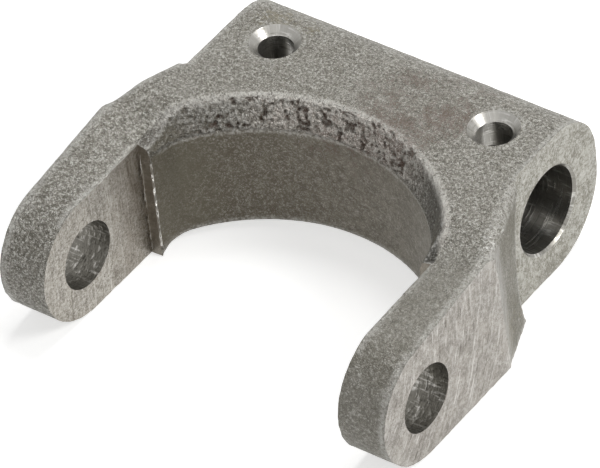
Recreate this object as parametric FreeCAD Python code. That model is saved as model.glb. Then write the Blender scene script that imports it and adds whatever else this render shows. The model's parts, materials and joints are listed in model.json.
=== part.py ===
"""Forged yoke: one steel forging with a cross bore, two set-screw holes and two pin arms.

The part lies flat.  X runs along the cross bore, the arms point to -Y and +Z is up.
The origin is on the cross-bore axis, half way between the two hub ends.
The source follows the order in which the real part is made: forging, milling, boring, drilling.
"""
import FreeCAD, Part
import math
import os

# ---- driving dimensions, mm ----------------------------------------------------
# hub that carries the cross bore
hub_length = 103.5          # between the two milled hub ends
hub_top = 22.6              # top of the hub above the bore axis
hub_bottom = 22.5           # flat underside below the bore axis
hub_back = 23.6             # back of the hub behind the bore axis
hub_top_radius = 17.5       # large radius between the top and the back
hub_under_radius = 22.0     # large radius between the back and the underside

# arms
arm_outer_width = 126.0     # over the two outer milled faces
arm_gap = 96.2              # between the two inner milled faces
pin_reach = 74.0            # pin axis in front of the bore axis
pin_drop = 3.2              # pin axis below the bore axis
tip_radius = 19.3           # rounded arm end about the pin axis
tip_round_start = 1.5       # the round takes over from the arm top this far in front of the pin axis
flare_start = 12.2          # the wall swings out from the hub end here
flare_end = 39.5            # and reaches the full width of the arms here
flare_bend = 8.0            # radius of the bend at the end of the flare
forging_draft = 1.1         # the outside stands this much further out at the underside than at the top
arm_top_inner = 16.9        # height of the arm top at the shoulder, along its inner edge
arm_top_outer = 21.6        # height of the arm top at the flare, along its outer edge
arm_top_rise_end = 30.0     # where the arm top has risen to the hub top
rise_softness = 0.4         # share of the rise over which it bends away from each end

# throat between the arms
throat_radius = 51.4
throat_centre = 69.0        # throat axis in front of the bore axis
throat_side = 44.2          # half width between the short side walls, at the shoulder
throat_side_taper = 2.2     # how much each side wall closes in towards the hub
throat_corner = 10.0        # radius between a side wall and the long arc
shoulder_front = 48.0       # where the inner arm milling stops
relief_depth = 9.0          # rough sloped band along the upper edge of the throat
relief_width = 3.9
under_relief_depth = 3.6    # flatter band along the lower edge of the throat
under_relief_width = 4.6

# machining
hub_end_stock = 1.0         # metal milled off each hub end
arm_face_stock = 1.6        # metal milled off each outer arm face
end_cutter_radius = 44.0    # round cutter that faces a hub end
end_cutter_back = 21.1      # its axis behind the bore axis
end_cutter_offset = 5.0     # and below it at the right end, above it at the left end
bore_diameter = 25.4
bore_chamfer = 0.7
pin_hole_diameter = 20.0
set_screw_spacing = 72.0
set_screw_hole = 10.1       # plain wall, at the core diameter of an M12 thread
set_screw_mouth = 14.6      # countersink at the top
set_screw_mouth_depth = 2.3

# forged edges
outer_edge = 3.0            # along the tops of the flares and the arms
relief_edge = 1.5           # along the ridge above the relief band

# working allowances of the cutting shapes
clear = 6.0                 # how far a cutting shape runs past the metal
edge_clear = 1.0            # the same where there is little room
tip_bite = 0.35             # the arm top passes this far inside the round tip
near = 0.03                 # a point this close to a curve lies on it
end_share = 0.02            # the outer samples of an edge lie this share of its length from its ends
ridge_rise = 1.0            # the ridge lies at least this far above the foot of the relief band

steel_density = 7.85e-6     # kg per cubic millimetre, for the printed mass only

# ---- values worked out from the dimensions --------------------------------------
hub_half = hub_length / 2
arm_half = arm_outer_width / 2
gap_half = arm_gap / 2
forged_hub_half = hub_half + hub_end_stock
forged_arm_half = arm_half + arm_face_stock
outer_plane = forged_arm_half + forging_draft + edge_clear
far_front = pin_reach + tip_radius + clear
block_top = hub_top + clear
block_bottom = -hub_bottom - clear


def point(x, y, z=0.0):
    return FreeCAD.Vector(x, y, z)


def line(start, end):
    return Part.LineSegment(start, end).toShape()


def arc(start, middle, end):
    return Part.Arc(start, middle, end).toShape()


def cut_from(solid, tools):
    for tool in tools:
        solid = solid.cut(tool)
    return solid


def both_sides(tool):
    """The tool and its mirror image in the plane X = 0."""
    return [tool, tool.mirror(point(0, 0, 0), point(1, 0, 0))]


# ---- forging --------------------------------------------------------------------
def tip_line(height, front):
    """Slope of the arm top that runs from a point at the root to the round tip."""
    run = pin_reach - front
    rise = height + pin_drop
    reach = math.hypot(run, rise)
    return math.atan2(rise, run) + math.acos((tip_radius - tip_bite) / reach) - math.pi / 2


def side_profile(x):
    """Section of hub and arm at one x; outside the throat the arm top rises with x."""
    share = (max(x, throat_side) - gap_half) / (arm_half - gap_half)
    height = arm_top_inner + share * (arm_top_outer - arm_top_inner)
    front = shoulder_front + share * (flare_end - shoulder_front)
    fall = math.tan(tip_line(height, front))
    handle = (front - arm_top_rise_end) * rise_softness
    top_y = hub_back - hub_top_radius
    top_z = hub_top - hub_top_radius
    under_y = hub_back - hub_under_radius
    under_z = hub_under_radius - hub_bottom
    slant = math.sqrt(0.5)
    rise = Part.BezierCurve()
    rise.setPoles([
        point(x, -front, height),
        point(x, -front + handle, height + handle * fall),
        point(x, -arm_top_rise_end - handle, hub_top),
        point(x, -arm_top_rise_end, hub_top),
    ])
    front_low = point(x, -far_front, -hub_bottom)
    front_high = point(x, -far_front, height - (far_front - front) * fall)
    root = point(x, -front, height)
    rise_end = point(x, -arm_top_rise_end, hub_top)
    back_top = point(x, top_y, hub_top)
    back_top_mid = point(x, top_y + hub_top_radius * slant, top_z + hub_top_radius * slant)
    back_high = point(x, hub_back, top_z)
    back_low = point(x, hub_back, under_z)
    back_low_mid = point(x, under_y + hub_under_radius * slant, under_z - hub_under_radius * slant)
    back_bottom = point(x, under_y, -hub_bottom)
    return Part.Wire([
        line(front_low, front_high),
        line(front_high, root),
        rise.toShape(),
        line(rise_end, back_top),
        arc(back_top, back_top_mid, back_high),
        line(back_high, back_low),
        arc(back_low, back_low_mid, back_bottom),
        line(back_bottom, front_low),
    ])


def plan_wire(z):
    """Right half of the outline at height z, before any milling; it grows downwards by the draft."""
    draft = forging_draft * (hub_top - z) / (hub_top + hub_bottom)
    hub_side = forged_hub_half + draft
    arm_side = forged_arm_half + draft
    slope = (arm_half - forged_hub_half) / (flare_end - flare_start)
    turn = math.atan(slope)
    tangent = flare_bend * math.tan(turn / 2)
    corner_y = -flare_end - arm_face_stock / slope
    bend_end = point(arm_side, corner_y - tangent, z)
    bend_start = point(arm_side - tangent * math.sin(turn), corner_y + tangent * math.cos(turn), z)
    bend_mid = point(
        arm_side - flare_bend * (1 - math.cos(turn / 2)), bend_end.y + flare_bend * math.sin(turn / 2), z
    )
    centre_back = point(0, hub_back + clear, z)
    hub_back_corner = point(hub_side, hub_back + clear, z)
    flare_corner = point(hub_side, -flare_start, z)
    arm_front = point(arm_side, -far_front - clear, z)
    centre_front = point(0, -far_front - clear, z)
    return Part.Wire([
        line(centre_back, hub_back_corner),
        line(hub_back_corner, flare_corner),
        line(flare_corner, bend_start),
        arc(bend_start, bend_mid, bend_end),
        line(bend_end, arm_front),
        line(arm_front, centre_front),
        line(centre_front, centre_back),
    ])


def half_plan():
    """Right half of the drafted outline as a solid, from below the underside to above the top."""
    return Part.makeLoft([plan_wire(block_bottom), plan_wire(block_top)], True, True)


def samples(edge):
    """Three points of an edge: close to both ends, and in the middle."""
    first, last = edge.ParameterRange
    return [edge.valueAt(first + (last - first) * share) for share in (end_share, 0.5, 1 - end_share)]


def outer_top_edges(body):
    """Edges along the top of the flare and the outside of the arm."""
    found = []
    for edge in body.Edges:
        start, middle, end = samples(edge)
        run = abs(end.y - start.y)
        lengthwise = run > abs(end.x - start.x) and run > abs(end.z - start.z)
        outside = min(start.x, middle.x, end.x) > forged_hub_half
        in_front = max(start.y, middle.y, end.y) < -flare_start
        if lengthwise and outside and in_front and middle.z > 0:
            found.append(edge)
    return found


def half_forging():
    """Right half of the forging, still without the throat and the round tip."""
    planes = [side_profile(x) for x in (0, throat_side, outer_plane)]
    body = Part.makeLoft(planes, True, True).common(half_plan()).removeSplitter().Solids[0]
    return body.makeFillet(outer_edge, outer_top_edges(body))


def throat_wire(z, grow, shoulder_grow):
    """Outline of the throat at height z: long arc, corners and side walls, moved outwards by grow.

    The side walls end at the shoulders, where the outline is moved by shoulder_grow.
    """
    far = -far_front - clear
    centre = point(0, -throat_centre, z)
    sides = []
    for hand in (-1, 1):
        shoulder = point(hand * throat_side, -shoulder_front, z)
        corner_x = shoulder.x - hand * throat_side_taper
        corner_y = -throat_centre + math.sqrt(throat_radius ** 2 - corner_x ** 2)
        along = point(corner_x - shoulder.x, corner_y - shoulder.y).normalize()
        inward = point(-hand * along.y, hand * along.x)
        base = shoulder + inward * throat_corner - centre
        reach = throat_radius - throat_corner
        middle = base.dot(along)
        run = -middle + math.sqrt(middle ** 2 - base.dot(base) + reach ** 2)
        hub_ward = centre + base + along * run
        on_wall = hub_ward - inward * (throat_corner + grow)
        outward = (hub_ward - centre).normalize()
        on_arc = centre + outward * (throat_radius + grow)
        between = (outward - inward).normalize()
        turn = hub_ward + between * (throat_corner + grow)
        foot = shoulder - inward * shoulder_grow
        front = point(foot.x, far, z)
        sides.append([on_arc, turn, on_wall, foot, front])
    left, right = sides
    apex = point(0, -throat_centre + throat_radius + grow, z)
    return Part.Wire([
        arc(left[0], apex, right[0]),
        arc(right[0], right[1], right[2]),
        line(right[2], right[3]),
        line(right[3], right[4]),
        line(right[4], left[4]),
        line(left[4], left[3]),
        line(left[3], left[2]),
        arc(left[2], left[1], left[0]),
    ])


def relief_tool(surface, depth, width, shoulder_width):
    """Sloped band along one edge of the throat; a negative depth works up from an underside."""
    past = math.copysign(clear, depth)
    stretch = (depth + past) / depth
    foot = throat_wire(surface - depth, 0, 0)
    mouth = throat_wire(surface + past, width * stretch, shoulder_width * stretch)
    return Part.makeLoft([foot, mouth], True, True)


def throat_tools():
    """The upright throat wall, with a relief band above it and a flatter one below."""
    wall = Part.Face(throat_wire(block_bottom, 0, 0)).extrude(point(0, 0, block_top - block_bottom))
    upper = relief_tool(hub_top, relief_depth, relief_width, relief_width)
    under = relief_tool(-hub_bottom, -under_relief_depth, under_relief_width, 0)
    return [wall, upper, under]


def tip_tool():
    """Everything in front of the round arm tips."""
    low = point(0, -pin_reach, -pin_drop - tip_radius)
    high_y = -pin_reach - tip_round_start
    high = point(0, high_y, -pin_drop + math.sqrt(tip_radius ** 2 - tip_round_start ** 2))
    front = point(0, -pin_reach - tip_radius, -pin_drop)
    far = -far_front - clear
    corners = [
        high, point(0, high_y, block_top), point(0, far, block_top), point(0, far, block_bottom),
        point(0, -pin_reach, block_bottom), low,
    ]
    edges = [arc(low, front, high)]
    edges += [line(start, end) for start, end in zip(corners, corners[1:])]
    profile = Part.Wire(edges)
    profile.translate(point(-outer_plane, 0, 0))
    return Part.Face(profile).extrude(point(2 * outer_plane, 0, 0))


def ridge_edges(body):
    """Edges along the ridge where the relief band meets the hub top and the arm tops."""
    foot = hub_top - relief_depth
    found = []
    for edge in body.Edges:
        points = samples(edge)
        if min(p.z for p in points) < foot + ridge_rise or min(p.y for p in points) < -shoulder_front:
            continue
        gaps = []
        for p in points:
            grow = relief_width * (p.z - foot) / relief_depth
            outline = throat_wire(p.z, grow, grow)
            gaps.append(outline.distToShape(Part.Vertex(p))[0])
        if max(gaps) < near:
            found.append(edge)
    return found


# ---- machining ------------------------------------------------------------------
def box(x0, x1, y0, y1):
    return Part.makeBox(x1 - x0, y1 - y0, block_top - block_bottom, point(x0, y0, block_bottom))


def hub_end_tool(hand):
    """Round cutter that faces one hub end; hand is 1 at the right end and -1 at the left."""
    start = point(hand * hub_half, end_cutter_back, -hand * end_cutter_offset)
    return Part.makeCylinder(end_cutter_radius, outer_plane - hub_half, start, point(hand, 0, 0))


def arm_face_tool():
    return box(arm_half, outer_plane, -far_front - clear, -flare_start)


def slot_tool():
    return box(-gap_half, gap_half, -far_front - clear, -shoulder_front)


def cross_bore_tools():
    radius = bore_diameter / 2
    reach = hub_half + clear
    bore = Part.makeCylinder(radius, 2 * reach, point(-reach, 0, 0), point(1, 0, 0))
    mouth = Part.makeCone(
        radius, radius + bore_chamfer, bore_chamfer, point(hub_half - bore_chamfer, 0, 0), point(1, 0, 0)
    )
    return [bore] + both_sides(mouth)


def pin_hole_tool():
    reach = arm_half + clear
    return Part.makeCylinder(
        pin_hole_diameter / 2, 2 * reach, point(-reach, -pin_reach, -pin_drop), point(1, 0, 0)
    )


def set_screw_tools():
    """Two countersunk holes from the top of the hub into the cross bore."""
    x = set_screw_spacing / 2
    hole = Part.makeCylinder(set_screw_hole / 2, block_top, point(x, 0, 0))
    slope = (set_screw_mouth - set_screw_hole) / 2 / set_screw_mouth_depth
    base = hub_top - set_screw_mouth_depth
    height = block_top - base
    mouth = Part.makeCone(set_screw_hole / 2, set_screw_hole / 2 + slope * height, height, point(x, 0, base))
    return both_sides(hole) + both_sides(mouth)


def yoke():
    right, left = both_sides(half_forging())
    body = right.fuse(left).removeSplitter()
    body = cut_from(body, [tip_tool()] + throat_tools() + [slot_tool()]).Solids[0]
    body = body.makeFillet(relief_edge, ridge_edges(body))
    body = cut_from(body, [hub_end_tool(1), hub_end_tool(-1)] + both_sides(arm_face_tool()))
    body = cut_from(body, cross_bore_tools() + [pin_hole_tool()] + set_screw_tools())
    return body.Solids[0]


part = yoke()
os.makedirs("parts", exist_ok=True)
part.exportStep("parts/yoke.step")
print("solids", len(part.Solids), "faces", len(part.Faces), "volume cm3", round(part.Volume / 1000, 2))
print("mass kg", round(part.Volume * steel_density, 3), "valid", part.isValid())
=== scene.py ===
# %% [markdown]
# # Forged yoke
# A yoke is the forked end of a linkage. A shaft sits in the long cross bore of the hub, two set
# screws clamp it, and a pin through the arm tips carries the next part. The blank is hammered
# between dies and shot blasted, so most of it has a grainy skin. Only the hub ends, the arm faces
# and the holes are cut. The solid model already has every dimension, so this lesson dresses it:
# a fine skin with real dents, the burrs that the cutters left, and a finish for each
# kind of surface.

# %% The fixed frame
import json
import math

import bmesh
import bpy
import numpy as np
from mathutils import Matrix, Vector
from mathutils.bvhtree import BVHTree


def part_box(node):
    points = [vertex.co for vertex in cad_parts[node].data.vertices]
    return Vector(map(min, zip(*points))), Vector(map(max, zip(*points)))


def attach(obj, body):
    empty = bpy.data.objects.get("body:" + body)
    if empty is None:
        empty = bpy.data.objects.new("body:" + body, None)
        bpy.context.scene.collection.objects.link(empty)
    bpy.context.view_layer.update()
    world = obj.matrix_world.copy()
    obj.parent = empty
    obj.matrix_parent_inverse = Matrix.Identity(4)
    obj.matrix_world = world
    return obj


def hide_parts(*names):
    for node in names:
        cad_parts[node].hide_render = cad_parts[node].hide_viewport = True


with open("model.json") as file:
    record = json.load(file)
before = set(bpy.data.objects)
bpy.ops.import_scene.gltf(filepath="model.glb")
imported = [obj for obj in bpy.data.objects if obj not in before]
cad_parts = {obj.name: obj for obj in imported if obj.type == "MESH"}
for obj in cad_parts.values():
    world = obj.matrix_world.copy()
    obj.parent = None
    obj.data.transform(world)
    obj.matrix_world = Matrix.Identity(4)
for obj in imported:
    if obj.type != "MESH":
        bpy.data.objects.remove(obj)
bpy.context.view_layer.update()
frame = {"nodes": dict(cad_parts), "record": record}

# %% [markdown]
# ## Sizes
# The record that comes with the solid lists its holes and flat faces. They could be typed in
# again, but reading them from it keeps the dressing in step with the solid. The throat's outline
# and the mouths of the holes aren't in the record, so their few numbers are written out.
# Everything below is worked in millimetres and turned into metres only when a mesh is made.

# %% Sizes of the object, in millimetres
MM = 0.001
mounts = {mount["name"]: mount for mount in frame["record"]["mounts"]}


def place(name):
    return [value / MM for value in mounts[name]["pos_m"]]


def dimension(name, key):
    return mounts[name]["dims"][key]


low, high = (np.array(corner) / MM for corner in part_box("yoke"))
hub_top = high[2]
hub_half = place("hub_end_right")[0]
arm_half = place("arm_outside_right")[0]
gap_half = place("arm_inside_right")[0]
bore_radius = dimension("cross_bore", "r_mm")
bore_mouth = 0.7
pin_radius = dimension("pin_holes", "r_mm")
pin_y, pin_z = place("pin_holes")[1:]
screw_x = dimension("set_screws", "spacing_x_mm") / 2
screw_mouth = 7.3
throat_radius = 51.4
throat_y = -69.0
throat_side = 44.2
throat_taper = 2.2
throat_corner = 10.0
shoulder_y = -48.0
relief_depth = 9.0
relief_width = 3.9
relief_foot = hub_top - relief_depth
print("bore", bore_radius, "pin", pin_radius, "screws at", screw_x, "top", round(hub_top, 2))

# %% [markdown]
# ## The camera
# The view looks down on the top of the hub from in front of the right arm, with a long lens from
# nearly two metres, and leans a little. A Track To constraint could aim the camera, but it can't
# lean it, so the camera is set like a tripod: turn, tip, lean. The angles turn the object into
# the camera's axes, and the offset then moves it in the picture.

# %% Camera
turn, tip, lean = (math.radians(angle) for angle in (39.849, 41.606, -6.612))
offset = Vector((24.417, 23.542, -1856.66)) * MM


def link(name, data):
    """A new object around a mesh, a lamp or a camera, put into the scene."""
    made = bpy.data.objects.new(name, data)
    bpy.context.scene.collection.objects.link(made)
    return made


right = Vector((math.cos(turn), math.sin(turn), 0))
up = Vector((-math.sin(turn) * math.sin(tip), math.cos(turn) * math.sin(tip), math.cos(tip)))
back = right.cross(up)
camera_x = math.cos(lean) * right + math.sin(lean) * up
camera_y = math.cos(lean) * up - math.sin(lean) * right
axes = Matrix((camera_x, camera_y, back)).transposed()
camera_data = bpy.data.cameras.new("studio_camera")
camera_data.sensor_width = 36.0
camera_data.lens = 410.59
camera_data.clip_start = 0.1
camera_data.clip_end = 6.0
camera = link("studio_camera", camera_data)
camera.matrix_world = Matrix.Translation(-(axes @ offset)) @ axes.to_4x4()
bpy.context.scene.camera = camera
print("camera at", [round(value, 3) for value in camera.matrix_world.translation])

# %% [markdown]
# ## A fine, even skin
# The solid arrives as long thin triangles, which can't carry dents. Remesh in its sharp mode lays
# an even grid of small quads over it and still keeps the corners that the cutters left. Voxel
# remesh would round those corners off. The triangles first have to be welded at their edges.

# %% Remesh a copy of the solid
grid_depth = 8
grid_fill = 0.6
weld = 0.001


def applied(piece):
    """The piece's mesh with its modifiers applied."""
    evaluated = piece.evaluated_get(bpy.context.evaluated_depsgraph_get())
    return bpy.data.meshes.new_from_object(evaluated)


blank_mesh = frame["nodes"]["yoke"].data.copy()
shell = bmesh.new()
shell.from_mesh(blank_mesh)
bmesh.ops.remove_doubles(shell, verts=shell.verts, dist=weld * MM)
shell.to_mesh(blank_mesh)
shell.free()
blank = link("blank", blank_mesh)

grid = blank.modifiers.new("even grid", "REMESH")
grid.mode = "SHARP"
grid.octree_depth = grid_depth
grid.scale = grid_fill
grid.sharpness = 1.0
grid.use_remove_disconnected = False
skin_mesh = applied(blank)
bpy.data.objects.remove(blank)
print("grid faces:", len(skin_mesh.polygons))

# %% [markdown]
# ## How far a point is from the throat
# The sloped band along the top of the throat is deeply pitted, and so is the ridge above it. A
# vertex group painted by hand could mark them, but it would be lost with every new grid. A
# distance is sounder: the throat's outline is a long arc, a corner at each end and two short
# walls, and both sides are alike, so the right half of it is enough.

# %% Distance from the throat
arc_steps = 160
corner_steps = 30
wall_steps = 20


def round_points(centre, radius, start, end, steps):
    """Points on an arc in plan, from one angle to another."""
    angles = np.linspace(start, end, steps)
    return centre + radius * np.column_stack([np.cos(angles), np.sin(angles)])


def throat_outline():
    """Points of the throat's right half in plan, from the middle to the shoulder."""
    throat_centre = np.array([0, throat_y])
    foot = np.array([throat_side, shoulder_y])
    wall_x = throat_side - throat_taper
    wall_y = throat_y + math.sqrt(throat_radius ** 2 - wall_x ** 2)
    along = np.array([wall_x - throat_side, wall_y - shoulder_y])
    along /= np.linalg.norm(along)
    inward = np.array([-along[1], along[0]])
    base = foot + inward * throat_corner - throat_centre
    middle = base @ along
    run = -middle + math.sqrt(middle ** 2 - base @ base + (throat_radius - throat_corner) ** 2)
    hub_ward = base + along * run
    arc_end = math.atan2(hub_ward[1], hub_ward[0])
    wall_end = math.atan2(-inward[1], -inward[0])
    arc = round_points(throat_centre, throat_radius, math.pi / 2, arc_end, arc_steps)
    corner = round_points(throat_centre + hub_ward, throat_corner, arc_end, wall_end, corner_steps)
    shares = np.linspace(1 / wall_steps, 1, wall_steps)[:, None]
    wall = corner[-1] + (foot - corner[-1]) * shares
    return np.vstack([arc, corner, wall])


outline = throat_outline()


def throat_distance(points):
    """How far each point lies outside the throat's wall, in plan; negative inside the opening."""
    plan = np.column_stack([np.abs(points[:, 0]), points[:, 1]])
    nearest = np.full(len(plan), np.inf)
    sign = np.ones(len(plan))
    for start, end in zip(outline, outline[1:]):
        side = end - start
        share = np.clip((plan - start) @ side / (side @ side), 0, 1)
        gap = plan - start - share[:, None] * side
        reach = np.hypot(gap[:, 0], gap[:, 1])
        closer = reach < nearest
        nearest[closer] = reach[closer]
        handed = side[0] * gap[:, 1] - side[1] * gap[:, 0]
        sign[closer] = np.where(handed[closer] < 0, -1, 1)
    return nearest * sign


print("outline points:", len(outline))

# %% [markdown]
# ## A finer grid where the pits are
# Most of the skin needs no finer grid. Cutting all of it once more would make four times as many
# faces, so only the edges on the band and on the ridge above it are cut. Where cut faces meet
# uncut ones some get five corners or more, and those are split into triangles.

# %% Refine the band
margin_inside = 0.5
margin_outside = 2.2
margin_below = 1.2
margin_shoulder = 0.4


def vertex_points(mesh):
    """The place of each vertex, in millimetres."""
    values = np.zeros(len(mesh.vertices) * 3, np.float32)
    mesh.vertices.foreach_get("co", values)
    return values.reshape(-1, 3).astype(float) / MM


def vertex_normals(mesh):
    values = np.zeros(len(mesh.vertices) * 3, np.float32)
    mesh.vertex_normals.foreach_get("vector", values)
    return values.reshape(-1, 3).astype(float)


points = vertex_points(skin_mesh)
reach = throat_distance(points)
in_zone = (reach > -margin_inside) & (reach < relief_width + margin_outside)
in_zone &= points[:, 2] > relief_foot - margin_below
in_zone &= points[:, 1] > shoulder_y + margin_shoulder
shell = bmesh.new()
shell.from_mesh(skin_mesh)
shell.verts.ensure_lookup_table()
edges = [edge for edge in shell.edges if all(in_zone[vert.index] for vert in edge.verts)]
bmesh.ops.subdivide_edges(shell, edges=edges, cuts=1, use_grid_fill=True)
bmesh.ops.triangulate(shell, faces=[face for face in shell.faces if len(face.verts) > 4])
shell.to_mesh(skin_mesh)
shell.free()
triangles = sum(len(face.vertices) - 2 for face in skin_mesh.polygons)
print("after refining:", len(skin_mesh.polygons), "faces,", triangles, "triangles")

# %% [markdown]
# ## Which surface is which
# Every later step asks the same question of a point: forged, or cut, and by which tool? The
# answer is plain geometry. A point is on a milled face if it lies in that face's plane, and in a
# hole if it lies on that hole's radius. A vertex in a milled plane may later slide within it but
# never leave it, which keeps the milled faces flat while their borders turn ragged.

# %% Zones
touch = 0.06
step_overlap = 0.4
screw_overlap = 2.0
planes = {
    "hub_end": (0, hub_half), "arm_outside": (0, arm_half), "arm_inside": (0, gap_half),
    "shoulder": (1, -shoulder_y),
}


def zone_masks(p):
    """True or false for each point and each kind of cut surface."""
    ax = np.abs(p[:, 0])
    bore_reach = np.hypot(p[:, 1], p[:, 2])
    pin_reach = np.hypot(p[:, 1] - pin_y, p[:, 2] - pin_z)
    screw_reach = np.hypot(ax - screw_x, p[:, 1])
    beside_arm = (ax < gap_half + touch) & (ax > throat_side - step_overlap)
    return {
        "hub_end": np.abs(ax - hub_half) < touch,
        "arm_outside": np.abs(ax - arm_half) < touch,
        "arm_inside": (np.abs(ax - gap_half) < touch) & (p[:, 1] < shoulder_y + touch),
        "shoulder": (np.abs(p[:, 1] - shoulder_y) < touch) & beside_arm,
        "bore": (bore_reach < bore_radius + bore_mouth + touch) & (ax < hub_half + touch),
        "pin": pin_reach < pin_radius + touch,
        "screw": (screw_reach < screw_mouth + touch) & (p[:, 2] > bore_radius - screw_overlap),
    }


points = vertex_points(skin_mesh)
normals = vertex_normals(skin_mesh)
masks = zone_masks(points)
cut = np.any(list(masks.values()), axis=0)
planar = np.any([masks[name] for name in planes], axis=0)
forged = np.where(cut, 0.0, 1.0)
print({name: int(mask.sum()) for name, mask in masks.items()}, "forged:", int(forged.sum()))

# %% [markdown]
# ## Relaxing the forged surface
# Hot steel pressed in a die has no facets. A Smooth modifier would also melt the part's edges, so
# the forged vertices are relaxed by hand: each moves towards the mean of its neighbours and then
# partly back, which irons the facets out and keeps the form from shrinking. The ridge above the
# band is softer on the real part than on the solid, and is relaxed further.

# %% Relax the forged vertices
smooth_steps = 7
smooth_pulls = (0.6, -0.45)
ridge_steps = 24
ridge_pull = 0.7

pairs = np.zeros(len(skin_mesh.edges) * 2, np.int32)
skin_mesh.edges.foreach_get("vertices", pairs)
pairs = pairs.reshape(-1, 2)
counts = np.bincount(pairs.ravel(), minlength=len(points)).astype(float)


def neighbour_mean(values):
    """For each vertex, the mean of what its neighbours hold: one number, or a place."""
    total = np.zeros_like(values)
    np.add.at(total, pairs[:, 0], values[pairs[:, 1]])
    np.add.at(total, pairs[:, 1], values[pairs[:, 0]])
    return (total.T / counts).T


def smoothstep(values, start, end):
    share = np.clip((values - start) / (end - start), 0, 1)
    return share * share * (3 - 2 * share)


def relax(points, give, pulls, steps):
    """Moves the points in place; give says how freely each one moves."""
    for step in range(steps):
        for pull in pulls:
            points += (neighbour_mean(points) - points) * pull * give[:, None]


reach = throat_distance(points)
crease = 1 - smoothstep(np.abs(points[:, 2] - hub_top + relief_depth), 0.3, 1.6)
crease *= 1 - smoothstep(np.abs(reach), 0.6, 1.6)
relax(points, forged * (1 - 0.75 * crease), smooth_pulls, smooth_steps)
ridge = 1 - smoothstep(np.abs(reach - relief_width), 1.6, 3.2)
ridge *= smoothstep(points[:, 2], hub_top - 4, hub_top - 2)
ridge *= forged * np.where(points[:, 1] > shoulder_y + 2, 1.0, 0.0)
relax(points, ridge, (ridge_pull,), ridge_steps)
print("relaxed", int(forged.sum()), "vertices, and the ridge", int((ridge > 0.5).sum()))

# %% [markdown]
# ## Dents and pits
# A bump map would leave the outline of the part ruler straight, so the dents are real. They are
# value noise: random heights on a coarse lattice, blended between its corners. Large sizes of it
# give the slow waves of the die, a small one the dimples of the blasting, and on the band alone
# several of them together make pits. The dents only go inward, so the part never grows past its
# solid, and the borders of the milled faces slide a little within their planes.

# %% Value noise
lattice_side = 32


def value_noise(p, size, seed):
    """Smooth random heights from 0 to 1 with features of the given size."""
    lattice = np.random.default_rng(seed).random((lattice_side, lattice_side, lattice_side))
    cell = p / size
    base = np.floor(cell).astype(int)
    share = cell - base
    share = share * share * (3 - 2 * share)
    total = np.zeros(len(p))
    for corner in range(8):
        step = np.array([corner & 1, corner >> 1 & 1, corner >> 2 & 1])
        weight = np.prod(np.where(step, share, 1 - share), axis=1)
        i, j, k = ((base + step) % lattice_side).T
        total += weight * lattice[i, j, k]
    return total


def noise_layers(p, *layers):
    """A sum of value noise; each layer is a size in millimetres, a seed and a height."""
    return sum(value_noise(p, size, seed) * height for size, seed, height in layers)


print("lattice corners:", lattice_side ** 3)

# %% Dents
band = (reach > 0.15) & (reach < relief_width + 0.6)
band &= (points[:, 2] < hub_top - 0.4) & (points[:, 2] > relief_foot + 0.1)
band = neighbour_mean(np.where(band, forged, 0.0))
wall = np.where((reach < 0.15) & (points[:, 1] > shoulder_y - 0.1), forged, 0.0)
waves = noise_layers(points, (13.0, 1, 0.16), (5.0, 2, 0.1))
dimples = noise_layers(points, (1.7, 3, 0.1))
crumbs = noise_layers(points, (1.9, 4, 0.45), (0.7, 5, 0.35), (4.5, 8, 0.2))
pits = smoothstep(crumbs, 0.5, 0.78) * 0.85 + noise_layers(points, (0.7, 5, 0.4))
near_middle = 1 - smoothstep(np.abs(points[:, 0] + 6), 22, 46)
pitting = pits * band * (0.15 + 0.85 * near_middle)
depth = (waves + dimples) * (1 - 0.7 * wall) + pitting
border = planar & (neighbour_mean(forged) > 0)
ragged = np.where(border, noise_layers(points, (1.5, 6, 0.35), (4.0, 7, 0.15)), 0.0)

moved = points - normals * (depth * forged + ragged)[:, None]
moved = np.clip(moved, low, high)
for name, (axis, plane) in planes.items():
    moved[masks[name], axis] = np.sign(points[masks[name], axis]) * plane
points = moved
skin_mesh.vertices.foreach_set("co", (points * MM).astype(np.float32).ravel())
skin_mesh.update()
print("deepest dent, mm:", round(float((depth * forged).max()), 2))

# %% [markdown]
# ## Marks that the shaders read
# A shader can't tell an edge from a flat, or know where rust began. Those facts are stored on the
# mesh as numbers from 0 to 1, and the materials mix them with noise, so no border looks drawn.
# The first ones come from the shape: how far a vertex stands out from its neighbours, and how
# near it is to a cut. The end of the throat's wall, beside the shoulder, has no bright edges.

# %% Marks of the edges
def settled(values, steps=3):
    """Values spread softly over their neighbours."""
    for step in range(steps):
        values = neighbour_mean(values)
    return values


normals = vertex_normals(skin_mesh)
spans = np.sum((points[pairs[:, 0]] - points[pairs[:, 1]]) ** 2, axis=1)
span_sum = sum(np.bincount(pairs[:, end], spans, len(points)) for end in (0, 1))
bulge = 4 * np.sum((points - neighbour_mean(points)) * normals, axis=1) * counts / span_sum
wall_end = 1 - smoothstep(points[:, 1], -47.0, -43.0)
wall_end = np.where((reach < 0.4) & (points[:, 2] < relief_foot), wall_end, 0.0)
marks = {
    "edge": smoothstep(settled(bulge), 0.05, 0.3) * (1 - wall_end) * forged,
    "border": np.clip(settled(np.where(border, 1.0, 0.0)) * 2.2, 0, 1) * (1 - wall_end),
    "band": band,
    "wall": wall,
    "pit": smoothstep(pitting, 0.42, 0.85),
}
print("bright edges:", int((marks["edge"] > 0.5).sum()), "vertices")
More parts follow.
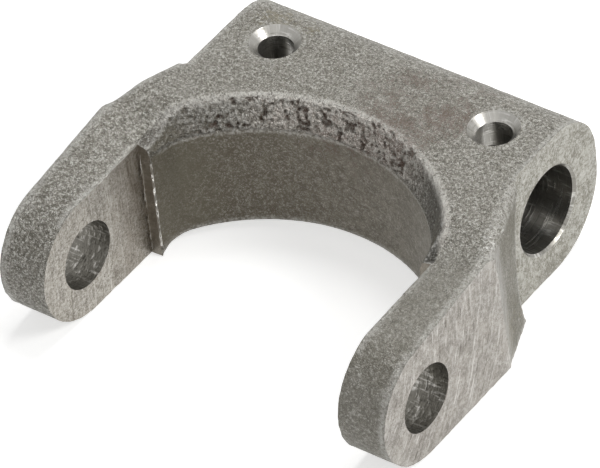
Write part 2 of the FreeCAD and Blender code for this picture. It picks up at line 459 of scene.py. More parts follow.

# %% [markdown]
# The next ones come from the place. The outside of the arms was skimmed by the cutter just past
# the flat. The tips and the outer flanks get painted shade, the ridge a painted highlight, and the
# band is bright at its middle, partly torn steel and partly painted highlight, with painted shade
# towards both ends. The left of the wall gets painted shade, the top of the right arm has a calmer
# grain, and the root of the inner faces gets painted shade in its corner.

# %% Marks of the regions
across, ahead, height = points[:, 0], -points[:, 1], points[:, 2]
sides = np.abs(across)
facing_out = np.abs(normals[:, 0])
# The ridge line carries a painted highlight along the rounded ridge above the band.
ridge_highlight_line = 1 - smoothstep(np.abs(reach - relief_width - 0.6), 0.4, 1.9)
ridge_highlight_line *= smoothstep(height, hub_top - 5.5, hub_top - 3.5) * smoothstep(-ahead, -52, -46)
# The middle of the band is lighter: partly torn steel, partly a painted highlight.
torn_and_lit = (1 - smoothstep(np.abs(across + 2), 14, 34)) * (1 - smoothstep(pitting, 0.1, 0.4))
# Both ends of the band are darkened: painted shade.
band_end_shade = smoothstep(across, 12, 44) + 0.5 * smoothstep(-across, 22, 40)
skimmed = smoothstep(sides, arm_half - 2.6, arm_half - 0.7) * smoothstep(facing_out, 0.25, 0.6)
marks.update({
    "skim": skimmed * forged,
    # tip: the arm tips, which get coarser grain and painted shade.
    "tip": smoothstep(ahead, 56, 84),
    # flank: forged surfaces turned sideways, which get painted shade.
    "flank": smoothstep(facing_out, 0.6, 0.85) * smoothstep(ahead, 10, 20) * forged,
    "ridge": ridge_highlight_line * forged,
    "crest": band * torn_and_lit,
    "band_end_shade": np.clip(band * band_end_shade, 0, 1),
    # left: painted shade over the left of the throat's wall.
    "left": smoothstep(-across, -12, 38),
    "quiet": smoothstep(across, 38, 50) * smoothstep(ahead, 40, 56),
    # The root of the inner faces, in the corner by the shoulder, gets painted shade.
    "root_shade": smoothstep(-ahead, -68, -50) * np.where(sides < gap_half + touch, 1.0, 0.0),
})
print("marks so far:", list(marks))

# %% [markdown]
# The last ones are spots where moisture, grease or a knock left something. Each spot is a soft
# ellipsoid, given one by one: its centre, its reach along each axis and its strength.

# %% Marks of the stains, and all marks onto the mesh
rust_spots = [
    ((6, -6, hub_top), (17, 11, 6), 0.7), ((25, -2, hub_top), (7, 7, 6), 0.9),
    ((4, 6, hub_top), (9, 5, 6), 0.5), ((16, -14, hub_top), (12, 7, 6), 0.6),
    ((-2, -20, 17), (26, 6, 9), 0.9), ((-38, -36, 16), (4, 4, 6), 0.9),
    ((20, 12, 20), (16, 8, 6), 0.5), ((2, -18, 3), (14, 6, 9), 0.35),
]
olive_spots = [
    ((-40, 8, 20), (10, 8, 8), 1.0), ((52, -16, -10), (8, 10, 12), 1.0),
    ((62, -36, -12), (6, 8, 12), 1.0),
]
scuff_spots = [((60.5, -35.0, 21.5), (3.0, 7.0, 2.5), 1.3)]


def spotted(spots):
    """Soft spots on the surface, added up."""
    total = np.zeros(len(points))
    for centre, size, strength in spots:
        away = (points - np.array(centre)) / np.array(size)
        total += np.exp(-np.sum(away ** 2, axis=1)) * strength
    return np.clip(total, 0, 1)


marks.update({"rust": spotted(rust_spots), "olive": spotted(olive_spots), "scuff": spotted(scuff_spots)})
for name, values in marks.items():
    mark = skin_mesh.attributes.new(name, "FLOAT", "POINT")
    mark.data.foreach_set("value", values.astype(np.float32))
    print(name, "covers", int((values > 0.5).sum()), "vertices")

# %% [markdown]
# ## Tools for the finishes
# Every finish here is a small graph of nodes. Wiring each node by hand would hide what the graph
# does, so a few helpers keep it short: add makes a node and fills its inputs, product and
# weighted do sums, ramp stretches a value, and lay puts one colour over another. The effects
# that several finishes share are made once, as node groups with named sockets: blasted grain,
# patchy tint, the marks of a cutter and bright worn edges. Their sizes are in millimetres.

# %% Node helpers
node_columns = 10
column_width = 200
row_height = 260


def add(tree, kind, values=None, **settings):
    """A new node, laid out in rows; values fills its input sockets by name or number."""
    row, column = divmod(len(tree.nodes), node_columns)
    node = tree.nodes.new(kind)
    node.location = (column * column_width, -row * row_height)
    for name, setting in settings.items():
        setattr(node, name, setting)
    for socket, value in (values or {}).items():
        if isinstance(value, bpy.types.NodeSocket):
            tree.links.new(value, node.inputs[socket])
        else:
            node.inputs[socket].default_value = value
    return node


def math_node(tree, operation, a, b=0.0):
    return add(tree, "ShaderNodeMath", values={0: a, 1: b}, operation=operation).outputs[0]


def product(tree, *factors):
    """All the factors multiplied together; each is a socket or a number."""
    total = factors[0]
    for factor in factors[1:]:
        total = math_node(tree, "MULTIPLY", total, factor)
    return total


def weighted(tree, first, first_weight, second, second_weight):
    """The sum of two values, each times its weight."""
    first_part = product(tree, first, first_weight)
    return math_node(tree, "ADD", first_part, product(tree, second, second_weight))


def ramp(tree, value, start, end, low_value=0.0, high_value=1.0):
    """The value stretched so that start gives low_value and end gives high_value."""
    span = {"From Min": start, "From Max": end, "To Min": low_value, "To Max": high_value}
    node = add(tree, "ShaderNodeMapRange", {"Value": value, **span}, interpolation_type="SMOOTHSTEP")
    return node.outputs["Result"]


def blend_colour(tree, share, first, second):
    """First where the share is 0 and second where it is 1; each is a socket or a colour."""
    sockets = {0: share}
    for number, value in ((6, first), (7, second)):
        sockets[number] = value if isinstance(value, bpy.types.NodeSocket) else (*value, 1.0)
    return add(tree, "ShaderNodeMix", sockets, data_type="RGBA").outputs[2]


def lay(tree, colour, tint, *shares):
    """The colour with a tint over it, as strong as the shares multiplied together."""
    return blend_colour(tree, product(tree, *shares), colour, tint)


print("helpers ready:", [helper.__name__ for helper in (add, product, weighted, ramp, blend_colour, lay)])


# %% The start of a shared effect
def new_group(name, inputs, outputs):
    """A node group; inputs is a dict of name to default, outputs a list of names."""
    tree = bpy.data.node_groups.new(name, "ShaderNodeTree")
    for socket, default in inputs.items():
        kind = "NodeSocketVector" if default is None else "NodeSocketFloat"
        made = tree.interface.new_socket(socket, in_out="INPUT", socket_type=kind)
        if default is not None:
            made.default_value = default
    for socket in outputs:
        tree.interface.new_socket(socket, in_out="OUTPUT", socket_type="NodeSocketFloat")
    source = add(tree, "NodeGroupInput").outputs
    target = add(tree, "NodeGroupOutput").inputs
    return tree, source, target


def noise_at(tree, vector, scale, detail, roughness=0.6):
    sockets = {"Vector": vector, "Scale": scale, "Detail": detail, "Roughness": roughness}
    return add(tree, "ShaderNodeTexNoise", sockets).outputs["Fac"]


print("group and noise helpers ready")

# %% [markdown]
# ## Blasted grain
# Steel shot leaves dimples that overlap at random. One noise texture looks like smoke, because
# its lumps have no rims, so the cells of a Voronoi texture are added to the height: the distance
# from each cell's centre gives the dimples a floor and a rim. The light and dark masks are the
# tops and the bottoms of the same noise, so that the colour and the relief agree.

# %% Shared effect: blasted grain
grain_group, source, target = new_group(
    "blasted grain", {"Vector": None, "Size": 0.6}, ["Height", "Light", "Dark"])
frequency = math_node(grain_group, "DIVIDE", 1.0, source["Size"])
fine_part = noise_at(grain_group, source["Vector"], frequency, 3.0, 0.65)
slow_part = noise_at(grain_group, source["Vector"], product(grain_group, frequency, 0.36), 2.0)
cells = add(grain_group, "ShaderNodeTexVoronoi", {"Vector": source["Vector"], "Scale": frequency})
lumps = weighted(grain_group, fine_part, 0.6, slow_part, 0.4)
rims = product(grain_group, cells.outputs["Distance"], 0.35)
grain_group.links.new(math_node(grain_group, "ADD", lumps, rims), target["Height"])
grain_group.links.new(ramp(grain_group, lumps, 0.525, 0.61), target["Light"])
grain_group.links.new(ramp(grain_group, lumps, 0.475, 0.39), target["Dark"])
print("made group", grain_group.name)

# %% [markdown]
# ## Patchy tint, cutter marks and worn edges
# Rust and grease come in speckles that crowd together near the middle of a stain, so the tint
# lowers its threshold where a mark says the stain is. A cutter leaves fine grooves that are long
# one way and short the other: noise stretched along one axis does that, and its low and high
# ends are the grooves and the bright lands. A worn edge is the edge mark broken up by noise,
# because an unbroken bright line looks painted on.

# %% Shared effect: patchy tint
tint_group, source, target = new_group(
    "patchy tint", {"Vector": None, "Size": 1.4, "Place": 0.0}, ["Mask"])
frequency = math_node(tint_group, "DIVIDE", 1.0, source["Size"])
speckle = noise_at(tint_group, source["Vector"], frequency, 3.0, 0.7)
cloud = noise_at(tint_group, source["Vector"], product(tint_group, frequency, 0.2), 2.0)
mixed = weighted(tint_group, speckle, 0.65, cloud, 0.35)
threshold = math_node(tint_group, "SUBTRACT", 0.66, product(tint_group, source["Place"], 0.2))
excess = math_node(tint_group, "SUBTRACT", mixed, threshold)
tint_group.links.new(ramp(tint_group, excess, -0.03, 0.06), target["Mask"])
print("made group", tint_group.name)

# %% Shared effects: cutter marks and worn edges
mark_group, source, target = new_group(
    "cutter marks", {"Across": 0.0, "Along": 0.0, "Pitch": 0.5, "Length": 8.0}, ["Height", "Groove", "Shine"])
pitches = math_node(mark_group, "DIVIDE", source["Across"], source["Pitch"])
lengths = math_node(mark_group, "DIVIDE", source["Along"], source["Length"])
stretched = add(mark_group, "ShaderNodeCombineXYZ", {0: pitches, 1: lengths, 2: 3.7}).outputs[0]
streak = noise_at(mark_group, stretched, 1.0, 3.0, 0.62)
broad = noise_at(mark_group, stretched, 0.23, 2.0, 0.5)
level = weighted(mark_group, streak, 0.7, broad, 0.3)
mark_group.links.new(level, target["Height"])
mark_group.links.new(ramp(mark_group, level, 0.45, 0.33), target["Groove"])
mark_group.links.new(ramp(mark_group, level, 0.53, 0.66), target["Shine"])

wear_group, source, target = new_group("worn edge", {"Vector": None, "Edge": 0.0, "Size": 1.0}, ["Mask"])
frequency = math_node(wear_group, "DIVIDE", 1.0, source["Size"])
breakup = noise_at(wear_group, source["Vector"], frequency, 3.0, 0.7)
worn = product(wear_group, source["Edge"], ramp(wear_group, breakup, 0.36, 0.62, 0.05, 1.0))
wear_group.links.new(worn, target["Mask"])
print("made groups", mark_group.name, "and", wear_group.name)

# %% [markdown]
# ## The finishes
# Bare steel is a metal in the shader too, but a blasted skin scatters so much that it looks half
# way to stone, so the forged finish is only partly metallic and fairly rough. The milled finish
# is lighter, smoother and streaked along the path of the cutter. Each material has its own
# Principled shader and the groups feed its colour, roughness and bump. The textures are laid out
# in object space, which needs no unwrapping and has no seams.

# %% A start for every finish
def start_material(name, metallic):
    material = bpy.data.materials.new(name)
    material.use_nodes = True
    tree = material.node_tree
    shader = tree.nodes["Principled BSDF"]
    shader.inputs["Metallic"].default_value = metallic
    return material, tree, shader


def place_vector(tree):
    """The place on the object, in millimetres."""
    at = add(tree, "ShaderNodeTexCoord").outputs["Object"]
    return add(tree, "ShaderNodeVectorMath", {0: at, 3: 1 / MM}, operation="SCALE").outputs[0]


def use_group(tree, group, values):
    return add(tree, "ShaderNodeGroup", node_tree=group, values=values).outputs


def mark_value(tree, name):
    return add(tree, "ShaderNodeAttribute", attribute_name=name).outputs["Fac"]


def bump(tree, shader, height, depth):
    """Feeds a height to the shader's normal; depth is the height of 1, in millimetres."""
    node = add(tree, "ShaderNodeBump", {"Height": height, "Strength": 1.0, "Distance": depth * MM})
    tree.links.new(node.outputs["Normal"], shader.inputs["Normal"])


def arcs(tree, vector, centre, pitch, length):
    """Cutter marks on a face across X, in arcs about centre, a (y, z) place in millimetres."""
    split = add(tree, "ShaderNodeSeparateXYZ", {0: vector}).outputs
    from_y = math_node(tree, "SUBTRACT", split["Y"], centre[0])
    from_z = math_node(tree, "SUBTRACT", split["Z"], centre[1])
    radius = math_node(tree, "SQRT", weighted(tree, from_y, from_y, from_z, from_z))
    angle = math_node(tree, "ARCTAN2", from_z, from_y)
    along = product(tree, angle, abs(centre[0]) + 1.0)
    return use_group(tree, mark_group, {"Across": radius, "Along": along, "Pitch": pitch, "Length": length})


print("material helpers ready")

# %% [markdown]
# ## Forged skin, first its tones
# The skin isn't one grey. The throat's wall is smooth and brown, with painted shade that makes it
# darker on the left. The band is broken steel: bright at its middle, partly where it was torn and
# partly as painted highlight, and nearly black towards both ends as painted shade. The ridge has a
# painted highlight and the arm tips are darkened with painted shade. One material for all of it,
# steered by the marks, lets these tones run into each other, which separate materials couldn't do.

# %% Forged skin: a tone for each region
skin_dull, skin_pale = (0.206, 0.195, 0.163), (0.256, 0.245, 0.211)
wall_open, wall_left_shade, wall_cloudy = (0.205, 0.185, 0.145), (0.102, 0.085, 0.056), (0.085, 0.066, 0.042)
band_tone, lit_crest_tone, band_end_shade_tone = (0.205, 0.186, 0.158), (0.47, 0.425, 0.38), (0.038, 0.035, 0.027)
ridge_highlight_tone, tip_shade_tone = (0.55, 0.525, 0.48), (0.135, 0.125, 0.1)

forged_skin, tree, shader = start_material("forged_skin", 0.5)
vector = place_vector(tree)
grain_out = use_group(tree, grain_group, {"Vector": vector, "Size": 0.5})
sand_out = use_group(tree, grain_group, {"Vector": vector, "Size": 0.27})
coarse_out = use_group(tree, grain_group, {"Vector": vector, "Size": 1.15})
slow_cloud = noise_at(tree, vector, 0.09, 3.0)
wall_cloud = ramp(tree, noise_at(tree, vector, 0.3, 3.0), 0.38, 0.62, 0.0, 0.6)
ridge_highlight_break = ramp(tree, coarse_out["Height"], 0.5, 0.85, 0.45, 0.9)

colour = blend_colour(tree, ramp(tree, slow_cloud, 0.35, 0.65), skin_dull, skin_pale)
# The wall darkens towards the left: painted shade.
wall_tone = blend_colour(tree, mark_value(tree, "left"), wall_open, wall_left_shade)
wall_tone = lay(tree, wall_tone, wall_cloudy, wall_cloud)
colour = lay(tree, colour, wall_tone, mark_value(tree, "wall"), 0.92)
colour = lay(tree, colour, band_tone, mark_value(tree, "band"), 0.8)
# The band's middle is lightened: partly torn steel, partly a painted highlight.
colour = lay(tree, colour, lit_crest_tone, mark_value(tree, "crest"), 0.9)
# Painted shade over both ends of the band.
colour = lay(tree, colour, band_end_shade_tone, mark_value(tree, "band_end_shade"))
# Painted highlight along the ridge, broken by the grain.
colour = lay(tree, colour, ridge_highlight_tone, mark_value(tree, "ridge"), ridge_highlight_break)
# The arm tips are darkened: painted shade.
colour = lay(tree, colour, tip_shade_tone, mark_value(tree, "tip"), 0.45)
print("tones laid:", len(tree.nodes), "nodes")

# %% [markdown]
# ## Forged skin, its grain
# The grain is three sizes of the blasted group, dark and light. A single size would look like
# printed dots. It is strongest on the hub and the arms, and calmer on the smooth wall, under the
# painted shade at both ends of the band and on the top of the right arm.

# %% Forged skin: grain
grain_dark, grain_light = (0.07, 0.063, 0.05), (0.60, 0.59, 0.55)
wall_calm = ramp(tree, mark_value(tree, "wall"), 0.0, 1.0, 1.0, 0.36)
band_end_shade_calm = ramp(tree, mark_value(tree, "band_end_shade"), 0.0, 1.0, 1.0, 0.35)
quiet_calm = ramp(tree, mark_value(tree, "quiet"), 0.0, 1.0, 1.0, 0.45)
calm = product(tree, wall_calm, band_end_shade_calm, quiet_calm)
coarse_share = ramp(tree, mark_value(tree, "tip"), 0.0, 1.0, 0.1, 0.3)
grain_share = product(tree, calm, 0.62)
sand_share = product(tree, calm, 0.95)
for grains, share in ((coarse_out, coarse_share), (grain_out, grain_share), (sand_out, sand_share)):
    colour = lay(tree, colour, grain_dark, grains["Dark"], share)
    colour = lay(tree, colour, grain_light, grains["Light"], share)
print("grain laid:", len(tree.nodes), "nodes")

# %% [markdown]
# ## Forged skin, its stains, pits, painted shade and painted glints
# Stains lie over the grain, and so does painted shade: the flanks that face sideways are darker,
# grease dries to olive and rust stays in speckles. The band's bright middle gets painted glints
# between its pits, and the pits are rusty inside. Painting them by hand would need an image, while
# a tint with a place mark needs none.

# %% Forged skin: stains, pits, painted shade and painted glints
flank_shade_tone, olive_tone, rust_tone = (0.125, 0.113, 0.08), (0.20, 0.175, 0.11), (0.105, 0.06, 0.042)
# The first tone is for painted glints, the second for rust in the pits.
glint_highlight_tone, pit_tone = (0.85, 0.79, 0.74), (0.092, 0.052, 0.036)
flank_shade_cloud = ramp(tree, slow_cloud, 0.35, 0.6, 0.75, 0.45)
olive = use_group(tree, tint_group, {"Vector": vector, "Size": 1.2, "Place": mark_value(tree, "olive")})
rust = use_group(tree, tint_group, {"Vector": vector, "Size": 0.75, "Place": mark_value(tree, "rust")})
pit_break = ramp(tree, grain_out["Height"], 0.45, 0.75, 1.0, 0.45)

# The flanks are darkened by how they face: painted shade.
colour = lay(tree, colour, flank_shade_tone, mark_value(tree, "flank"), flank_shade_cloud)
colour = lay(tree, colour, olive_tone, olive["Mask"], 0.55)
colour = lay(tree, colour, rust_tone, rust["Mask"], 0.62)
# Painted glints: very light specks on the band's middle.
colour = lay(tree, colour, glint_highlight_tone, mark_value(tree, "crest"), sand_out["Light"])
colour = lay(tree, colour, pit_tone, mark_value(tree, "pit"), pit_break)
print("stains laid:", len(tree.nodes), "nodes")

# %% [markdown]
# ## Forged skin, its wear and relief
# Edges that stick out are rubbed bright, and so is the rim of every cut. A knock left bright
# crumbs on the bend of the right flare, and the cutter skimmed the skin beside the outer faces.
# Worn places are smoother too. The grain also feeds a bump, deeper on the band, because dimples
# this small would need millions of faces.

# %% Forged skin: wear, roughness and relief
edge_tone, rim_tone = (0.58, 0.57, 0.535), (0.6, 0.59, 0.56)
scuff_tone, skim_tone = (0.85, 0.84, 0.81), (0.40, 0.385, 0.36)
arm_cutter = (-128.0, 22.0)
skin_relief = 0.6
wear = use_group(tree, wear_group, {"Vector": vector, "Edge": mark_value(tree, "edge"), "Size": 0.9})
rim = use_group(tree, wear_group, {"Vector": vector, "Edge": mark_value(tree, "border"), "Size": 0.7})
scuff = use_group(tree, wear_group, {"Vector": vector, "Edge": mark_value(tree, "scuff"), "Size": 0.6})
skim_out = arcs(tree, vector, arm_cutter, 0.5, 9.0)
skim_share = product(tree, mark_value(tree, "skim"), ramp(tree, skim_out["Height"], 0.36, 0.5))

colour = lay(tree, colour, edge_tone, wear["Mask"], 0.5)
colour = lay(tree, colour, rim_tone, rim["Mask"], 0.4)
colour = lay(tree, colour, scuff_tone, scuff["Mask"], coarse_out["Light"])
colour = lay(tree, colour, skim_tone, skim_share, 0.8)
tree.links.new(colour, shader.inputs["Base Color"])
tree.links.new(ramp(tree, wear["Mask"], 0.0, 1.0, 0.5, 0.38), shader.inputs["Roughness"])
grain_relief = ramp(tree, mark_value(tree, "wall"), 0.0, 1.0, 1.0, 0.4)
band_relief = product(tree, mark_value(tree, "band"), 1.6)
skin_height = weighted(tree, grain_out["Height"], grain_relief, coarse_out["Height"], band_relief)
bump(tree, shader, skin_height, skin_relief)
print("made", forged_skin.name, "with", len(tree.nodes), "nodes")

# %% [markdown]
# ## Milled faces
# A face cutter drags its teeth round in arcs, so the streaks on a milled face are curved, flatter
# the larger the cutter. Anisotropic shading alone would give the sheen but no streaks, so each
# face gets the cutter marks about its own centre. Dark grooves, bright lands, a little grit and
# painted shade in the corner at the root of the inner faces lie over the base tone. One function
# makes all four faces.

# %% Milled faces: arcs of a face cutter
milled_roughness = 0.42
milled_relief = 0.05
root_shade_tone = (0.15, 0.118, 0.085)
inside_cutter = (-400.0, 0.0)
hub_cutter = (21.0, -5.0)


def milled(name, tones, centre, pitch, length, grooves=0.9, mottle=0.25, grit=0.6):
    """A flat face across X, with arcs about centre; tones are its base, dark and bright colour."""
    base, dark, bright = tones
    material, tree, shader = start_material(name, 0.8)
    vector = place_vector(tree)
    marks_out = arcs(tree, vector, centre, pitch, length)
    broad_out = arcs(tree, vector, centre, pitch * 4, length)
    cloud = ramp(tree, noise_at(tree, vector, 0.14, 3.0), 0.35, 0.65)
    fine = use_group(tree, grain_group, {"Vector": vector, "Size": 0.3})
    coarse = use_group(tree, grain_group, {"Vector": vector, "Size": 1.3})
    wear = use_group(tree, wear_group, {"Vector": vector, "Edge": mark_value(tree, "border"), "Size": 0.8})
    root_shade_break = ramp(tree, broad_out["Height"], 0.3, 0.65, 0.2, 0.6)
    colour = blend_colour(tree, cloud, [value * 0.9 for value in base], [value * 1.08 for value in base])
    colour = lay(tree, colour, dark, broad_out["Groove"], grooves * 0.4)
    colour = lay(tree, colour, dark, marks_out["Groove"], grooves)
    colour = lay(tree, colour, bright, marks_out["Shine"], grooves)
    for grains, share in ((fine, grit), (coarse, mottle)):
        colour = lay(tree, colour, dark, grains["Dark"], share)
        colour = lay(tree, colour, bright, grains["Light"], share)
    colour = lay(tree, colour, bright, wear["Mask"], 0.4)
    # Painted shade towards the root of the inner faces.
    colour = lay(tree, colour, root_shade_tone, mark_value(tree, "root_shade"), root_shade_break)
    tree.links.new(colour, shader.inputs["Base Color"])
    roughness = ramp(tree, marks_out["Height"], 0.3, 0.7, milled_roughness + 0.08, milled_roughness - 0.08)
    tree.links.new(roughness, shader.inputs["Roughness"])
    bump(tree, shader, marks_out["Height"], milled_relief)
    return material


arm_tones = ((0.335, 0.313, 0.283), (0.12, 0.102, 0.082), (0.60, 0.582, 0.555))
inside_tones = ((0.365, 0.342, 0.302), (0.11, 0.09, 0.065), (0.62, 0.60, 0.56))
hub_tones = ((0.335, 0.325, 0.285), (0.16, 0.145, 0.11), (0.52, 0.51, 0.475))
# The shoulder's tones are darker than the other faces: painted shade.
step_shade_tones = ((0.25, 0.232, 0.195), (0.09, 0.078, 0.058), (0.42, 0.405, 0.37))
milled_arm = milled("milled_arm_face", arm_tones, arm_cutter, 0.7, 11.0)
milled_inside = milled("milled_inner_face", inside_tones, inside_cutter, 0.5, 18.0, grooves=0.8, grit=0.85)
milled_hub = milled("milled_hub_end", hub_tones, hub_cutter, 0.6, 3.5, grooves=0.6, mottle=0.55, grit=1.0)
milled_step = milled("milled_shoulder", step_shade_tones, inside_cutter, 0.6, 10.0, grooves=0.4, mottle=0.4)
print("made", milled_arm.name, milled_inside.name, milled_hub.name, milled_step.name)

# %% [markdown]
# ## Holes
# A boring bar and a countersink leave fine rings round the hole, and the bar scratches the wall
# lengthwise when it is drawn out. Both are the cutter marks again, wrapped round the hole's axis:
# once with the rings across, and once with the scratches across. The cut steel in the holes is
# smoother than the milled faces, so its marks have more contrast.

# %% Holes: rings and scratches
turn_length = 10.0
scratch_pitch, scratch_length = 0.7, 5.0


def bored(name, tones, axis, centre, pitch, length, roughness, relief):
    """A round hole; axis is the socket along it and centre the hole's place across it."""
    base, dark, bright = tones
    material, tree, shader = start_material(name, 0.9)
    split = add(tree, "ShaderNodeSeparateXYZ", {0: place_vector(tree)}).outputs
    first_axis, second_axis = (side for side in "XYZ" if side != axis)
    first = split[first_axis]
    if axis == "Z":
        first = math_node(tree, "ABSOLUTE", first)
    first = math_node(tree, "SUBTRACT", first, centre[0])
    second = math_node(tree, "SUBTRACT", split[second_axis], centre[1])
    round_it = product(tree, math_node(tree, "ARCTAN2", second, first), turn_length)
    rings = use_group(
        tree, mark_group, {"Across": split[axis], "Along": round_it, "Pitch": pitch, "Length": length})
    scratches = use_group(
        tree, mark_group,
        {"Across": round_it, "Along": split[axis], "Pitch": scratch_pitch, "Length": scratch_length})
    colour = lay(tree, base, dark, rings["Groove"], 0.7)
    colour = lay(tree, colour, dark, scratches["Groove"], 0.4)
    colour = lay(tree, colour, bright, rings["Shine"], 0.6)
    colour = lay(tree, colour, bright, scratches["Shine"], 0.55)
    tree.links.new(colour, shader.inputs["Base Color"])
    polish = ramp(tree, rings["Height"], 0.3, 0.7, roughness + 0.1, roughness - 0.1)
    tree.links.new(polish, shader.inputs["Roughness"])
    bump(tree, shader, rings["Height"], relief)
    return material


bore_tones = ((0.26, 0.25, 0.225), (0.045, 0.042, 0.035), (0.85, 0.84, 0.8))
pin_tones = ((0.21, 0.2, 0.175), (0.025, 0.022, 0.017), (0.85, 0.83, 0.79))
screw_tones = ((0.36, 0.35, 0.325), (0.13, 0.12, 0.1), (0.72, 0.71, 0.69))
bore_finish = bored("bored_steel", bore_tones, "X", (0.0, 0.0), 0.9, 9.0, 0.33, 0.16)
pin_finish = bored("drilled_pin_hole", pin_tones, "X", (pin_y, pin_z), 1.0, 2.2, 0.36, 0.3)
screw_finish = bored("countersunk_steel", screw_tones, "Z", (screw_x, 0.0), 0.5, 9.0, 0.34, 0.06)
print("made", bore_finish.name, pin_finish.name, screw_finish.name)

# %% [markdown]
# ## Dress the skin
# A face takes a cut finish when all of its corners lie in that cut. The faces along a border have
# a corner on each side and stay forged, which is why the border follows the dents. Every finish
# could be a piece of its own, but one mesh has no gaps between them. The finished skin then
# stands in for the plain solid.

# %% Give each face its finish
sharp_angle = 38
zone_finishes = {
    "hub_end": milled_hub, "arm_outside": milled_arm, "arm_inside": milled_inside,
    "shoulder": milled_step, "bore": bore_finish, "pin": pin_finish, "screw": screw_finish,
}
skin_mesh.materials.clear()
for finish in (forged_skin, *zone_finishes.values()):
    skin_mesh.materials.append(finish)
starts = np.zeros(len(skin_mesh.polygons), np.int32)
sizes = np.zeros(len(skin_mesh.polygons), np.int32)
corners = np.zeros(len(skin_mesh.loops), np.int32)
skin_mesh.polygons.foreach_get("loop_start", starts)
skin_mesh.polygons.foreach_get("loop_total", sizes)
skin_mesh.loops.foreach_get("vertex_index", corners)
face_finish = np.zeros(len(starts), np.int32)
for number, name in enumerate(zone_finishes, 1):
    inside = np.add.reduceat(masks[name][corners].astype(int), starts) == sizes
    face_finish[inside] = number
skin_mesh.polygons.foreach_set("material_index", face_finish)
skin_mesh.polygons.foreach_set("use_smooth", np.ones(len(starts), bool))
skin_mesh.set_sharp_from_angle(angle=math.radians(sharp_angle))
skin_mesh.name = "yoke_skin"
skin = link("yoke_skin", skin_mesh)
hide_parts("yoke")
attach(skin, "root")
print("faces per finish:", np.bincount(face_finish).tolist())

# %% [markdown]
# ## The burrs
# A cutter pushes a thin lip of metal over the edge where it leaves the part. A curve with a bevel
# would be too even, so each lip here is a closed sliver with a triangular section: its foot is
# sunk in the part and its crest rises and falls at random, and where the crest would be lower
# than the surface the lip simply disappears.

# %% Burr steel
burr_dull, burr_bright = (0.5, 0.48, 0.44), (0.78, 0.77, 0.74)
burr_finish, tree, shader = start_material("burr_steel", 0.7)
glint = ramp(tree, noise_at(tree, place_vector(tree), 1.3, 2.0), 0.35, 0.65)
tree.links.new(blend_colour(tree, glint, burr_dull, burr_bright), shader.inputs["Base Color"])
shader.inputs["Roughness"].default_value = 0.4
print("made", burr_finish.name)

# %% A closed sliver along a path
burr_sunk = 0.2
burr_spacing = 0.16
burr_taper = 1.5


def sliver(name, crest, left_foot, right_foot):
    """A closed piece with a triangular section through three lines of points."""
    count = len(crest)
    corners = np.clip(np.vstack([crest, left_foot, right_foot]), low, high)
    faces = []
    for i in range(count - 1):
        for a, b in ((0, 1), (1, 2), (2, 0)):
            faces.append((a * count + i, a * count + i + 1, b * count + i + 1, b * count + i))
    faces += [(0, count, 2 * count), (3 * count - 1, 2 * count - 1, count - 1)]
    mesh = bpy.data.meshes.new(name)
    mesh.from_pydata((corners * MM).tolist(), [], faces)
    mesh.materials.append(burr_finish)
    shell = bmesh.new()
    shell.from_mesh(mesh)
    bmesh.ops.recalc_face_normals(shell, faces=shell.faces)
    shell.to_mesh(mesh)
    shell.free()
    return link(name, mesh)


def burr(name, path, out, height, width, seed):
    """A ragged lip along a path; out is the way that its crest stands."""
    path = np.array(path, float)
    out = np.array(out, float) / np.linalg.norm(out)
    steps = np.linalg.norm(np.diff(path, axis=0), axis=1)
    travelled = np.concatenate([[0], np.cumsum(steps)])
    places = np.linspace(0, travelled[-1], int(travelled[-1] / burr_spacing))
    line = np.column_stack([np.interp(places, travelled, path[:, axis]) for axis in range(3)])
    side = np.cross(np.gradient(line, axis=0), out)
    side /= np.linalg.norm(side, axis=1)[:, None]
    shift = np.column_stack([places, np.zeros_like(places), np.zeros_like(places)])
    level = noise_layers(shift, (0.9, seed, 1.3), (3.5, seed + 1, 0.9)) - 0.6
    wander = (value_noise(shift, 1.1, seed + 2) - 0.5) * 2.4
    taper = np.minimum(1, np.minimum(places, places[::-1]) / burr_taper)
    rise = np.clip(level, -0.2, 1) * height * taper
    crest = line + out * rise[:, None] + side * (wander * width)[:, None]
    foot = line - out * burr_sunk
    piece = sliver(name, crest, foot + side * width, foot - side * width)
    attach(piece, "root")
    return piece


print("a burr has a point every", burr_spacing, "mm")

# %% [markdown]
# Three burrs show: two stand along the left shoulder, where the inner milling stopped, and one
# runs along the top edge of the left arm's inner face. The heights of the surface that they
# follow come from rays cast down on the dented skin, so they never float above it.

# %% Burrs left by the cutters
surface = BVHTree.FromObject(skin, bpy.context.evaluated_depsgraph_get())
ray_height = 20


def top_at(x, y):
    """Height of the skin above a place in plan."""
    hit = surface.ray_cast(Vector((x, y, hub_top + ray_height)) * MM, Vector((0, 0, -1)))
    return hit[0].z / MM


def upright(x, foot, head):
    """A line up the shoulder."""
    return [(x, shoulder_y, foot), (x, shoulder_y, head)]


shoulder_top = top_at(-throat_side - 0.5, shoulder_y + 0.4)
shoulder_edge = upright(-throat_side, -18.5, shoulder_top - 3.5)
inner_corner = upright(-gap_half + 0.45, low[2] + 1, shoulder_top - 1)
arm_edge = [(-gap_half, y, top_at(-gap_half - 0.15, y)) for y in np.linspace(-66, shoulder_y - 0.5, 14)]
burrs = [
    burr("burr_shoulder_left", shoulder_edge, out=(1, -1, 0), height=1.2, width=0.3, seed=11),
    burr("burr_inner_corner_left", inner_corner, out=(0.3, -1, 0), height=0.55, width=0.16, seed=21),
    burr("burr_inner_edge_left", arm_edge, out=(0.6, 0, 1), height=0.6, width=0.2, seed=31),
]
print("burrs:", [piece.name for piece in burrs])

# %% [markdown]
# ## The floor
# The floor is a pale matt sheet. More light would make it white but would wash out the steel, so
# instead its own colour is lifted a little, only for what looks at it directly or in a
# reflection. It then reads as white and still keeps the shadow under the part.

# %% Floor
half_floor = 2.5
floor_gap = 0.1
floor_lift = 0.6


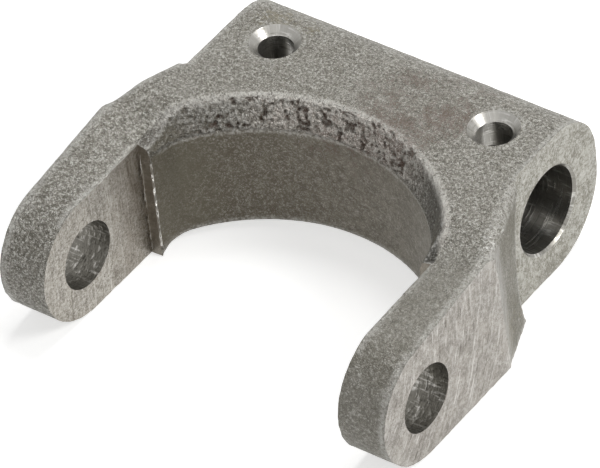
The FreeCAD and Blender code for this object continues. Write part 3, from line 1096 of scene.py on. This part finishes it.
def seen_directly(tree):
    """1 where the camera, a reflection or a look through glass meets the surface, otherwise 0."""
    rays = add(tree, "ShaderNodeLightPath").outputs
    direct = math_node(tree, "MAXIMUM", rays["Is Camera Ray"], rays["Is Glossy Ray"])
    return math_node(tree, "MAXIMUM", direct, rays["Is Transmission Ray"])


floor_z = low[2] * MM - floor_gap * MM
floor_mesh = bpy.data.meshes.new("studio_floor")
floor_mesh.from_pydata(
    [(-half_floor, -half_floor, floor_z), (half_floor, -half_floor, floor_z),
     (half_floor, half_floor, floor_z), (-half_floor, half_floor, floor_z)], [], [(0, 1, 2, 3)])
floor = link("studio_floor", floor_mesh)
floor_finish, tree, shader = start_material("pale_floor", 0.0)
shader.inputs["Base Color"].default_value = (0.8, 0.8, 0.79, 1)
shader.inputs["Roughness"].default_value = 0.9
lift = product(tree, seen_directly(tree), floor_lift)
glow = add(tree, "ShaderNodeEmission", {"Color": (1, 1, 1, 1), "Strength": lift}).outputs[0]
both = add(tree, "ShaderNodeAddShader", {0: shader.outputs[0], 1: glow}).outputs[0]
tree.links.new(both, tree.nodes["Material Output"].inputs["Surface"])
floor_mesh.materials.append(floor_finish)
print("floor at", round(floor_z / MM, 2), "mm")

# %% [markdown]
# ## World and lamps
# The world does the same as the floor: white to the eye and in reflections, dimmer as a light.
# Three soft square lamps shape the part. The strongest stands to its right, one hangs over it
# towards the back and grazes the top, and a faint one in front opens the shade in the throat.
# Small lamps would give hard bright spots on the steel.

# %% World and lamps
world_light = 0.22
lamp_aim = Vector((0, -0.03, 0))
lamps = {
    "lamp_right": ((1.0, 0.3, 0.9), 0.5, 7.5),
    "lamp_above": ((-0.1, 0.5, 1.3), 0.6, 6.8),
    "lamp_front": ((0.6, -1.0, 0.9), 0.5, 1.0),
}
world = bpy.data.worlds.new("studio_world")
bpy.context.scene.world = world
world.use_nodes = True
sky = world.node_tree
sky_shader = sky.nodes["Background"]
sky_shader.inputs["Color"].default_value = (1, 1, 1, 1)
sky.links.new(ramp(sky, seen_directly(sky), 0.0, 1.0, world_light, 1.0), sky_shader.inputs["Strength"])

for name, (at, size, power) in lamps.items():
    lamp_data = bpy.data.lights.new(name, "AREA")
    lamp_data.shape = "SQUARE"
    lamp_data.size = size
    lamp_data.energy = power
    lamp = link(name, lamp_data)
    lamp.location = at
    lamp.rotation_euler = (lamp_aim - Vector(at)).to_track_quat("-Z", "Y").to_euler()
bpy.context.scene.view_settings.view_transform = "Standard"
print("lit by", list(lamps))
